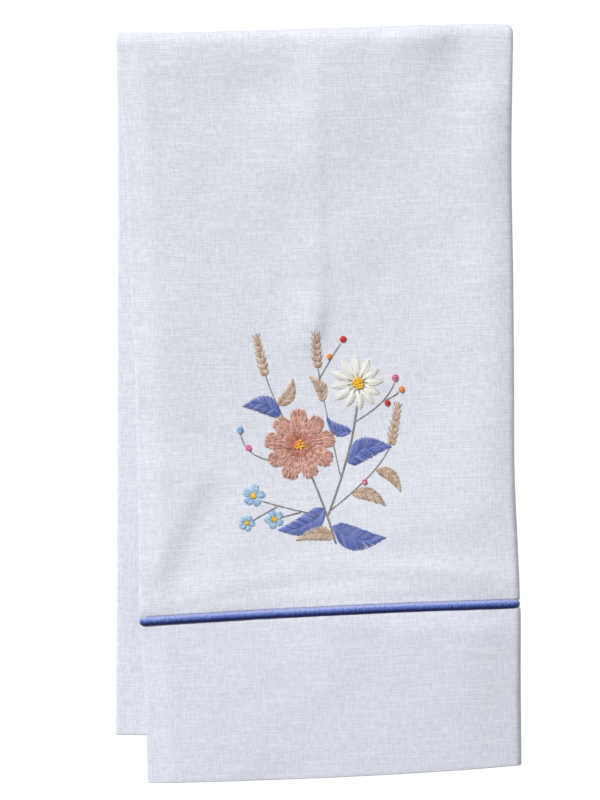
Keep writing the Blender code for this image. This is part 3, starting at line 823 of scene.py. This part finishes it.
def stitch_tree(finish):
    """Thread laid over each edge of a mesh: it rises along "out" by "arch", and dips at both ends."""
    tree = bpy.data.node_groups.new(f"stitches in {finish.name}", "GeometryNodeTree")
    tree.interface.new_socket("Geometry", in_out="INPUT", socket_type="NodeSocketGeometry")
    radius = tree.interface.new_socket("Thread radius", in_out="INPUT", socket_type="NodeSocketFloat")
    steps = tree.interface.new_socket("Steps", in_out="INPUT", socket_type="NodeSocketInt")
    sides = tree.interface.new_socket("Sides", in_out="INPUT", socket_type="NodeSocketInt")
    tree.interface.new_socket("Geometry", in_out="OUTPUT", socket_type="NodeSocketGeometry")
    given = add(tree, "NodeGroupInput").outputs
    arch = add(tree, "GeometryNodeInputNamedAttribute", {"Name": "arch"}, data_type="FLOAT").outputs[0]
    out = add(tree, "GeometryNodeInputNamedAttribute", {"Name": "out"}, data_type="FLOAT_VECTOR").outputs[0]
    girth = add(tree, "GeometryNodeInputNamedAttribute", {"Name": "girth"}, data_type="FLOAT").outputs[0]
    lines = add(tree, "GeometryNodeMeshToCurve", {"Mesh": given["Geometry"]})
    fine = add(tree, "GeometryNodeResampleCurve", {"Curve": lines.outputs[0], "Count": given["Steps"]})
    share = add(tree, "GeometryNodeSplineParameter").outputs["Factor"]
    centred = add(tree, "ShaderNodeMath", {0: share, 1: 2.0, 2: -1.0}, operation="MULTIPLY_ADD").outputs[0]
    squared = add(tree, "ShaderNodeMath", {0: centred, 1: centred}, operation="MULTIPLY").outputs[0]
    steep = add(tree, "ShaderNodeMath", {0: squared, 1: squared}, operation="MULTIPLY").outputs[0]
    bow = add(tree, "ShaderNodeMath", {0: 1.0, 1: steep}, operation="SUBTRACT").outputs[0]
    rise = add(tree, "ShaderNodeMath", {0: bow, 1: arch}, operation="MULTIPLY").outputs[0]
    offset = add(tree, "ShaderNodeVectorMath", {0: out, "Scale": rise}, operation="SCALE").outputs[0]
    raised = add(tree, "GeometryNodeSetPosition", {"Geometry": fine.outputs[0], "Offset": offset})
    thin = add(tree, "ShaderNodeMath", {
        0: steep, 1: -END_THINNING, 2: 1.0,
    }, operation="MULTIPLY_ADD").outputs[0]
    size = add(tree, "ShaderNodeMath", {0: thin, 1: girth}, operation="MULTIPLY").outputs[0]
    ring = add(tree, "GeometryNodeCurvePrimitiveCircle", {
        "Resolution": given["Sides"], "Radius": given["Thread radius"],
    })
    tube = add(tree, "GeometryNodeCurveToMesh", {
        "Curve": raised.outputs[0], "Profile Curve": ring.outputs[0], "Scale": size, "Fill Caps": True,
    })
    soft = add(tree, "GeometryNodeSetShadeSmooth", {"Geometry": tube.outputs[0]})
    real = add(tree, "GeometryNodeRealizeInstances", {"Geometry": soft.outputs[0]})
    dyed = add(tree, "GeometryNodeSetMaterial", {"Geometry": real.outputs[0], "Material": finish})
    add(tree, "NodeGroupOutput", {"Geometry": dyed.outputs[0]})
    return tree, {"radius": radius.identifier, "steps": steps.identifier, "sides": sides.identifier}


def stitched(name, stitches, finish, radius=THREAD_RADIUS, steps=6, sides=5):
    """Lay a list of stitches in one thread, as one plain mesh."""
    wires = bpy.data.meshes.new(f"{name} wires")
    points = np.array([spot for s in stitches for spot in (s.start, s.end)]) * MM
    edges = [(2 * i, 2 * i + 1) for i in range(len(stitches))]
    wires.from_pydata(points.tolist(), edges, [])
    for key, scale in (("arch", MM), ("girth", 1.0), ("shade", 1.0)):
        values = np.repeat([getattr(s, key) for s in stitches], 2) * scale
        wires.attributes.new(key, "FLOAT", "POINT").data.foreach_set("value", values)
    outs = np.repeat(np.array([s.out for s in stitches]), 2, axis=0)
    wires.attributes.new("out", "FLOAT_VECTOR", "POINT").data.foreach_set("vector", outs.ravel())
    guide = bpy.data.objects.new(f"{name} guide", wires)
    bpy.context.scene.collection.objects.link(guide)
    tree, sockets = stitch_tree(finish)
    maker = guide.modifiers.new("stitches", "NODES")
    maker.node_group = tree
    maker[sockets["radius"]] = radius * MM
    maker[sockets["steps"]] = steps
    maker[sockets["sides"]] = sides
    ready = guide.evaluated_get(bpy.context.evaluated_depsgraph_get())
    mesh = bpy.data.meshes.new_from_object(ready)
    mesh.name = name
    bpy.data.objects.remove(guide, do_unlink=True)
    made = bpy.data.objects.new(name, mesh)
    bpy.context.scene.collection.objects.link(made)
    return made


def machine_row(spots, outs, length, pitch, rng, arch=0.16, girth=1.0):
    """Straight machine stitches along a row of points, each length long and pitch apart."""
    walked = walk(spots)
    row = []
    for start in np.arange(ROW_START, walked[-1] - length, pitch):
        start = start + rng.normal(0, STITCH_STRAY)
        ends = [read_along(walked, spots, distance) for distance in (start, start + length)]
        out = unit(read_along(walked, outs, start))
        row.append(Stitch(*ends, out, arch, girth, rng.uniform(0, 1)))
    return row


def seam_stitches(finish):
    """Blue stitches that show along the upper edge of the piping, where it is sewn in."""
    rng = np.random.default_rng(5)
    beside_cord, sunk, length, pitch = 0.38, 0.1, 0.5, 0.82
    fold_steps = 8
    # the flaps inside aren't sewn here, so they have hardly any mesh lines
    shape = Columns(
        np.array([0.97]), shares_of(fold_steps), shares_of(90), shares_of(10), np.array([0.0, 0.03])
    )
    spots, outs, _ = lay(FRONT, SEAM - PIPING_HALF_WIDTH - beside_cord, math.pi, shape)
    spots = spots + outs * (PLY / 2 - sunk)
    on_panel = slice(fold_steps + 2, None)
    row = machine_row(spots[on_panel], outs[on_panel], length, pitch, rng, arch=0.2, girth=0.9)
    return stitched("piping_seam_stitches", row, finish, radius=SEWING_RADIUS, steps=4)


def hem_stitches(finish):
    """White stitches of the back end's narrow hem, on the cloth's face side."""
    rng = np.random.default_rng(6)
    sunk, length, pitch = 0.06, 1.7, 2.3
    shape = columns(flap_steps=16, fold_steps=8, panel_steps=60)
    spots, outs, _ = lay(BACK, BACK.at("back_hem") - HEM_STITCH_LINE, 0.0, shape)
    row = machine_row(spots + outs * (PLY / 2 - sunk), outs, length, pitch, rng, arch=0.13)
    return stitched("back_hem_stitches", row, finish, radius=SEWING_RADIUS, steps=4)


# ---------------------------------------------------------------- the stitched spray

MOTIF_CENTRE = (0.8, -13.0)
THREAD_PITCH = 0.37  # between two threads of a filled shape
GOLDEN_TURN = 137.5  # degrees, from one knot of a flower's middle to the next
LEAST_STITCH = 1.0
SUNK = 0.12  # how far a stitch's ends go down into the cloth
ABOVE_TOWEL = 50.0

# Places are in millimetres from the spray's centre, and angles in degrees
Leaf = namedtuple("Leaf", "thread x y angle length width bend")
Stem = namedtuple("Stem", "thread points rows")
Dot = namedtuple("Dot", "thread x y radius")
Flower = namedtuple("Flower", "thread x y radius petals turn")
Ear = namedtuple("Ear", "thread x y angle pairs")

STEMS = (
    Stem("grey", ((6, -41), (3, -30), (-1, -20), (-6, -9)), 2),
    Stem("grey", ((3, -30), (9, -14), (13, 0), (14, 12)), 2),
    Stem("grey", ((-5, -12), (-13, 6), (-19, 16), (-21, 24)), 1),
    Stem("grey", ((8, -16), (3, 6), (0, 20), (-1, 27)), 1),
    Stem("grey", ((4, -28), (14, -20), (23, -12), (27, -3)), 1),
    Stem("grey", ((3, -30), (-8, -29), (-17, -26), (-24, -24)), 1),
    Stem("grey", ((-7.0, -28.8), (-11.0, -29.5), (-14.0, -30.5), (-17.0, -31.5)), 1),
    Stem("grey", ((-16.0, -26.4), (-20.0, -28.5), (-24.0, -31.0), (-27.5, -32.8)), 1),
    Stem("grey", ((13.6, 6.0), (20.0, 10.0), (26.0, 14.0), (28.5, 21.0)), 1),
    Stem("grey", ((24.5, 13.8), (27.0, 15.0), (29.0, 16.0), (30.2, 17.2)), 1),
    Stem("grey", ((-19.0, -9.0), (-24.0, -8.0), (-29.0, -6.0), (-30.5, 1.0)), 1),
    Stem("grey", ((-0.5, 22.0), (3.0, 28.0), (5.0, 32.0), (8.0, 36.0)), 1),
)
LEAVES = (
    Leaf("blue", 4.5, -34.0, -12, 21, 9.5, -3.0),
    Leaf("blue", 2.0, -27.0, 205, 20, 8.5, 3.0),
    Leaf("blue", 10.5, -10.0, 20, 18, 9.0, 3.0),
    Leaf("blue", -15.0, 8.5, 168, 15, 7.5, -2.5),
    Leaf("blue", 12.0, 2.0, 150, 11, 5.0, 2.0),
    Leaf("tan", 12.0, -21.6, -20, 14, 5.5, 2.0),
    Leaf("tan", 21.2, -12.2, -42, 13, 5.0, 2.0),
    Leaf("tan", -16.5, 12.0, 60, 12, 5.0, -2.0),
    Leaf("tan", 5.6, -38.0, 186, 15, 6.0, -2.0),
    Leaf("tan", 0.9, 13.5, 118, 11, 4.8, -2.0),
)
EARS = (
    Ear("tan", -21.0, 23.0, 103, 6),
    Ear("tan", -1.0, 26.0, 93, 5),
    Ear("tan", 27.0, -3.5, 80, 6),
)
SMALL_FLOWERS = (
    Flower("light_blue", -25.5, -22.5, 4.6, 5, 10),
    Flower("light_blue", -17.5, -31.5, 4.0, 5, 40),
    Flower("light_blue", -28.0, -33.0, 3.4, 5, 70),
)
DOTS = (
    Dot("yellow", -25.5, -22.5, 1.2),
    Dot("yellow", -17.5, -31.5, 1.1),
    Dot("yellow", -28.0, -33.0, 0.9),
    Dot("pink", 28.8, 22.6, 1.35),
    Dot("orange", 31.2, 18.2, 1.2),
    Dot("red", 25.8, 13.0, 1.15),
    Dot("sky", -30.6, 2.6, 1.35),
    Dot("pink", -27.4, -4.2, 1.2),
    Dot("red", 8.8, 37.4, 1.3),
    Dot("orange", 3.5, 30.8, 1.1),
    Dot("pink", 17.0, -17.2, 1.1),
)
BLOOM = Flower("terracotta", -8.0, -3.0, 14.0, 9, 12)
DAISY = Flower("white", 14.5, 20.5, 10.5, 12, 5)


class Hand:
    """Collects the stitches of each thread, in millimetres about the spray's centre."""

    def __init__(self, seed):
        self.rng = np.random.default_rng(seed)
        self.threads = {}

    def sew(self, thread, start, end, arch, girth=1.0):
        # a random painted sheen for this stitch, between the thread's light and dark tone
        shade = self.rng.uniform(0, 1)
        self.threads.setdefault(thread, []).append((np.array(start), np.array(end), arch, girth, shade))

    def jitter(self, amount):
        return self.rng.normal(0, amount)


def heading(degrees):
    angle = math.radians(degrees)
    return np.array([math.cos(angle), math.sin(angle)])


def across_of(way):
    return np.array([-way[1], way[0]])


def bezier(points, share):
    a, b, c, d = (np.array(p, float) for p in points)
    rest = 1 - share
    return a * rest**3 + 3 * b * rest**2 * share + 3 * c * rest * share**2 + d * share**3


def sew_stem(hand, stem):
    """Stem stitch: slanting stitches that overlap by half along a curve."""
    line = np.array([bezier(stem.points, s) for s in np.linspace(0, 1, 60)])
    walked = walk(line)
    step, reach, spread, slant, nearby = 1.5, 2.9, 0.34, 0.12, 0.5
    for k in range(stem.rows):
        aside = (k - (stem.rows - 1) / 2) * spread
        for start in np.arange(0.0, walked[-1] - reach / 2, step):
            ends = []
            for distance, off in ((start, -slant), (min(start + reach, walked[-1]), slant)):
                spot, ahead, behind = read_along(
                    walked, line, np.array([distance, distance + nearby, distance - nearby])
                )
                ends.append(spot + across_of(unit(ahead - behind)) * (aside + off))
            hand.sew(stem.thread, *ends, arch=0.3 + hand.jitter(0.02))


def sew_leaf(hand, leaf):
    """Fishbone stitch over a flat underlay: from the midrib out and forward, on both sides."""
    way = heading(leaf.angle)
    out = across_of(way)
    base = np.array([leaf.x, leaf.y])

    def rib(share):
        return base + way * leaf.length * share + out * leaf.bend * 4 * share * (1 - share)

    ahead, underlay = 0.17, 0.18  # how far a stitch reaches on, as a share of the leaf
    past_rib, shortest = 0.15, 1.2
    for aside in (-0.6, -0.2, 0.2, 0.6):
        for share in np.arange(0.02, 0.8, 0.15):
            start, end = rib(share) + out * aside, rib(share + underlay) + out * aside
            hand.sew(leaf.thread, start, end, arch=0.16)
    count = int(leaf.length / (THREAD_PITCH * 1.05))
    for i in range(count):
        share = i / count
        tip = min(share + ahead, 1.0)
        fullness = math.sin(math.pi * min(tip, 0.999) ** 0.75) ** 0.8
        for side in (-1, 1):
            edge = rib(tip) + out * side * (leaf.width / 2 * fullness + hand.jitter(0.12))
            start = rib(share) - out * side * past_rib + way * hand.jitter(0.1)
            if np.hypot(*(edge - start)) >= shortest:
                hand.sew(leaf.thread, start, edge, arch=0.36 + hand.jitter(0.03))


def sew_petal(hand, thread, centre, angle, inner, outer, half_angle, layers):
    """Long and short stitch over a flat underlay: rings of radial stitches in a rounded petal."""
    reach = outer - inner
    underlay_arch, arch_above, shoulder, overlap = 0.16, 0.42, 0.42, 0.5
    rings = [(inner, outer - overlap, underlay_arch)]
    for layer in range(layers):
        low = inner + reach * layer / layers
        rings.append((low, inner + reach * (layer + 1) / layers, arch_above))
    for low, high, arch in rings:
        count = max(3, int(2 * math.radians(half_angle) * high / THREAD_PITCH))
        for i in range(count):
            share = (i + 0.5) / count * 2 - 1
            edge = inner + reach * (1 - abs(share) ** 3.0 * shoulder)
            start = low + hand.jitter(0.35) - overlap * (low > inner)
            end = min(high + hand.jitter(0.45), edge + hand.jitter(0.15))
            if end - start < LEAST_STITCH:
                continue
            ray = heading(angle + share * half_angle + hand.jitter(0.6))
            hand.sew(thread, centre + ray * start, centre + ray * end, arch=arch + hand.jitter(0.04))


def sew_dot(hand, dot):
    """A padded satin dot: parallel stitches over a small disc, high in the middle."""
    angle = hand.rng.uniform(0, 180)
    way, out = heading(angle), across_of(heading(angle))
    count = max(4, int(2 * dot.radius / (THREAD_PITCH * 0.85)))
    outermost, rim_arch, padding = 0.94, 0.35, 0.55
    for i in range(count):
        aside = ((i + 0.5) / count * 2 - 1) * outermost
        half = dot.radius * math.sqrt(1 - aside * aside)
        middle = np.array([dot.x, dot.y]) + out * aside * dot.radius
        arch = rim_arch + padding * math.sqrt(1 - aside * aside)
        hand.sew(dot.thread, middle - way * half, middle + way * half, arch=arch)


def sew_ear(hand, ear):
    """An ear of grain: paired grains of a few stitches each, with thin beards."""
    way = heading(ear.angle)
    base = np.array([ear.x, ear.y])
    spacing, grain, beard, beside = 2.3, 3.6, 2.4, 0.3
    for i in range(ear.pairs):
        root = base + way * spacing * i
        for side in (-1, 1):
            slope = heading(ear.angle + side * (26 - 2 * i))
            for k in range(-2, 3):
                aside = across_of(slope) * k * beside
                short = 0.25 * abs(k)
                start = root + slope * (0.3 + short) + aside
                end = root + slope * (grain - short) + aside + slope * hand.jitter(0.1)
                hand.sew(ear.thread, start, end, arch=0.5 - 0.08 * abs(k))
            tip = root + slope * grain
            hand.sew("grey", tip, tip + heading(ear.angle + side * 14) * beard, arch=0.2, girth=0.6)
    top = base + way * spacing * ear.pairs
    for k in range(-2, 3):
        aside = across_of(way) * k * beside
        end = top + way * (grain - 0.3 * abs(k)) + aside
        hand.sew(ear.thread, top - way * 0.4 + aside, end, arch=0.45)


def sew_bloom(hand):
    """The large bloom: two rings of petals in long and short stitch round a knotted middle."""
    centre = np.array([BLOOM.x, BLOOM.y])
    petal_start, inner_start, inner_radius, inner_turn = 4.6, 1.9, 6.4, 30
    knots, knot_spread = 14, 0.52
    turn = 360 / BLOOM.petals
    for i in range(BLOOM.petals):
        outer = BLOOM.radius + hand.jitter(0.35)
        sew_petal(hand, BLOOM.thread, centre, BLOOM.turn + turn * i, petal_start, outer, turn * 0.48, 4)
    inner_petals = BLOOM.petals - 2
    for i in range(inner_petals):
        outer = inner_radius + hand.jitter(0.2)
        angle = inner_turn + 360 / inner_petals * i
        sew_petal(hand, "rose", centre, angle, inner_start, outer, 180 / inner_petals * 0.9, 1)
    for i in range(knots):
        spot = centre + heading(i * GOLDEN_TURN) * knot_spread * math.sqrt(i)
        sew_dot(hand, Dot("yellow" if i % 3 else "orange", *spot, 0.5))


def sew_daisy(hand):
    """The white daisy: narrow satin petals, grey at their roots, round a yellow middle."""
    centre = np.array([DAISY.x, DAISY.y])
    petal_start, apart, narrowing = 2.4, 0.36, 0.55
    grey_start, grey_end = 2.2, 4.6
    knots, knot_spread = 20, 0.5
    turn = 360 / DAISY.petals
    for i in range(DAISY.petals):
        angle = DAISY.turn + turn * i + hand.jitter(1.5)
        way = heading(angle)
        reach = DAISY.radius + hand.jitter(0.4)
        for k in range(-4, 5):
            aside = across_of(way) * k * apart
            start = centre + way * (petal_start + 0.12 * abs(k)) + aside * narrowing
            end = centre + way * (reach - 0.16 * k * k) + aside
            hand.sew(DAISY.thread, start, end, arch=0.62 - 0.07 * abs(k))
        hand.sew("grey", centre + way * grey_start, centre + way * grey_end, arch=0.72, girth=0.55)
    for i in range(knots):
        spot = centre + heading(i * GOLDEN_TURN) * knot_spread * math.sqrt(i)
        sew_dot(hand, Dot("yellow", *spot, 0.5))


def sew_small_flower(hand, flower):
    centre = np.array([flower.x, flower.y])
    for i in range(flower.petals):
        angle = flower.turn + 360 / flower.petals * i
        sew_petal(hand, flower.thread, centre, angle, 1.0, flower.radius, 180 / flower.petals * 0.82, 1)


def spray(towel, threads):
    """Sew the whole spray on the front leg's panel, one piece for each thread."""
    hand = Hand(seed=17)
    for stem in STEMS:
        sew_stem(hand, stem)
    for leaf in LEAVES:
        sew_leaf(hand, leaf)
    for ear in EARS:
        sew_ear(hand, ear)
    for flower in SMALL_FLOWERS:
        sew_small_flower(hand, flower)
    sew_bloom(hand)
    sew_daisy(hand)
    for dot in DOTS:
        sew_dot(hand, dot)

    skin = BVHTree.FromObject(towel, bpy.context.evaluated_depsgraph_get())
    up = np.array([0.0, 0.0, 1.0])
    pieces = []
    for thread, sewn in hand.threads.items():
        placed = []
        for start, end, arch, girth, shade in sewn:
            ends = []
            for spot in (start, end):
                x, y = spot + MOTIF_CENTRE
                high = Vector((x * MM, y * MM, ABOVE_TOWEL * MM))
                hit, _, _, _ = skin.ray_cast(high, Vector(-up))
                ends.append(np.array([x, y, hit.z / MM - SUNK]))
            placed.append(Stitch(*ends, up, arch, girth, shade))
        pieces.append(stitched(f"spray_{thread}_thread", placed, threads[thread]))
    return pieces


# ---------------------------------------------------------------- table, light and camera

TABLE_REACH = 3000.0
TABLE_GLOW = 0.96  # so that the table is as evenly white as a lit white sweep
FILL_ABOVE = 0.30
FILL_BELOW = 0.70  # light that the pale table throws back up at the folds
FILL_BAND = 0.1  # either side of level, where one changes into the other
WINDOW_ANGLE = 22  # degrees across, seen from the towel
WINDOW_ENERGY = 2.83
WINDOW_PLACE = (-2130.0, 2610.0, 3520.0)
CAMERA_DISTANCE = 1800.0
CAMERA_PLACE = (-6.9, 1.15)  # over the towel's middle, as the picture is framed
CLOTH_TOP = 7.0  # the height that is framed
SEEN_HEIGHT = 306.4
SENSOR_WIDTH = 36.0


def table_top():
    """The pale surface that the towel lies on."""
    made, tree, shader = new_material("plain white tabletop")
    shader.inputs["Base Color"].default_value = linear("#7C7C7C")
    shader.inputs["Roughness"].default_value = 0.9
    shader.inputs["Emission Color"].default_value = (1.0, 1.0, 1.0, 1.0)
    shader.inputs["Emission Strength"].default_value = TABLE_GLOW
    reach = TABLE_REACH * MM
    mesh = bpy.data.meshes.new("tabletop")
    corners = [(-reach, -reach, 0), (reach, -reach, 0), (reach, reach, 0), (-reach, reach, 0)]
    mesh.from_pydata(corners, [], [(0, 1, 2, 3)])
    mesh.materials.append(made)
    table = bpy.data.objects.new("tabletop", mesh)
    bpy.context.scene.collection.objects.link(table)
    table.visible_diffuse = False  # so that its white adds no glow to the folds beside it
    return table


def studio_light():
    """A large soft light from the upper left, with even fill from above and more from below."""
    world = bpy.data.worlds.new("studio fill")
    world.use_nodes = True
    tree = world.node_tree
    looking = add(tree, "ShaderNodeTexCoord").outputs["Generated"]
    upward = add(tree, "ShaderNodeSeparateXYZ", {"Vector": looking}).outputs["Z"]
    fill = add(tree, "ShaderNodeMapRange", {
        "Value": upward, "From Min": -FILL_BAND, "From Max": FILL_BAND,
        "To Min": FILL_BELOW, "To Max": FILL_ABOVE,
    }).outputs[0]
    tree.nodes["Background"].inputs["Color"].default_value = (1.0, 1.0, 1.0, 1.0)
    tree.links.new(fill, tree.nodes["Background"].inputs["Strength"])
    bpy.context.scene.world = world
    lamp = bpy.data.lights.new("soft window", "SUN")
    lamp.angle = math.radians(WINDOW_ANGLE)
    lamp.energy = WINDOW_ENERGY
    made = bpy.data.objects.new("soft window", lamp)
    made.location = Vector(WINDOW_PLACE) * MM
    made.rotation_euler = (-made.location).to_track_quat("-Z", "Y").to_euler()
    bpy.context.scene.collection.objects.link(made)


def camera():
    """Straight above the towel, far enough off to see it almost without perspective."""
    data = bpy.data.cameras.new("camera above")
    data.sensor_width = SENSOR_WIDTH
    data.lens = SENSOR_WIDTH * CAMERA_DISTANCE / SEEN_HEIGHT
    made = bpy.data.objects.new("camera above", data)
    made.location = Vector((*CAMERA_PLACE, CAMERA_DISTANCE + CLOTH_TOP)) * MM
    bpy.context.scene.collection.objects.link(made)
    bpy.context.scene.camera = made


# The spray's threads: what each is, with its light and its dark tone, between which each stitch's painted
# sheen and its fibres' mottling fall
SPRAY_THREADS = {
    "grey": ("grey stranded cotton", "#A3A09E", "#6E6B6B"),
    "blue": ("mid-blue rayon thread", "#8291D0", "#384896"),
    "tan": ("tan rayon thread", "#E3CDB8", "#9A7B64"),
    "light_blue": ("light blue rayon thread", "#BCD8EC", "#7FA6CC"),
    "terracotta": ("terracotta pink rayon thread", "#EFC2B4", "#AC6B5B"),
    "rose": ("dusky rose rayon thread", "#D99583", "#96503F"),
    "white": ("white rayon thread", "#FBFAF4", "#DEDCD2"),
    "yellow": ("yellow rayon thread", "#FFD84A", "#E3A715"),
    "pink": ("pink rayon thread", "#F08BB0", "#CF4F80"),
    "red": ("red rayon thread", "#E0383A", "#A81217"),
    "orange": ("orange rayon thread", "#FFA763", "#E37222"),
    "sky": ("sky blue rayon thread", "#A9D0F0", "#4E88C4"),
}


def main():
    linen = woven_linen("washed white linen", "#E8EAF2", "#D3D6E1", weave_depth=0.05)
    band_linen = woven_linen("washed white linen, doubled", "#E4E7F1", "#D2D5E1", weave_depth=0.05)
    # the satin's pale colour is a painted highlight and its navy painted shade, round the cord
    satin = satin_cover("blue rayon satin", "#A2AEE2", "#586EB8", "#0D1C60")
    blue_cotton = twisted_thread("blue sewing cotton", "#7F86B8", "#4F5692", roughness=0.6)
    white_cotton = twisted_thread("white sewing cotton", "#F2F3F8", "#D9DCE8", roughness=0.7)
    threads = {name: twisted_thread(*finish) for name, finish in SPRAY_THREADS.items()}

    body = towel_body(linen)
    band = hem_band(band_linen)
    cord = piping(satin)
    seam = seam_stitches(blue_cotton)
    hems = hem_stitches(white_cotton)
    sewn = spray(body, threads)
    table = table_top()
    studio_light()
    camera()
    bpy.context.scene.view_settings.view_transform = "Standard"

    for piece in (body, band, cord, seam, hems, *sewn):
        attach(piece, "root")
    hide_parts("towel_body")
    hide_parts("hem_band")
    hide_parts("piping")


main()
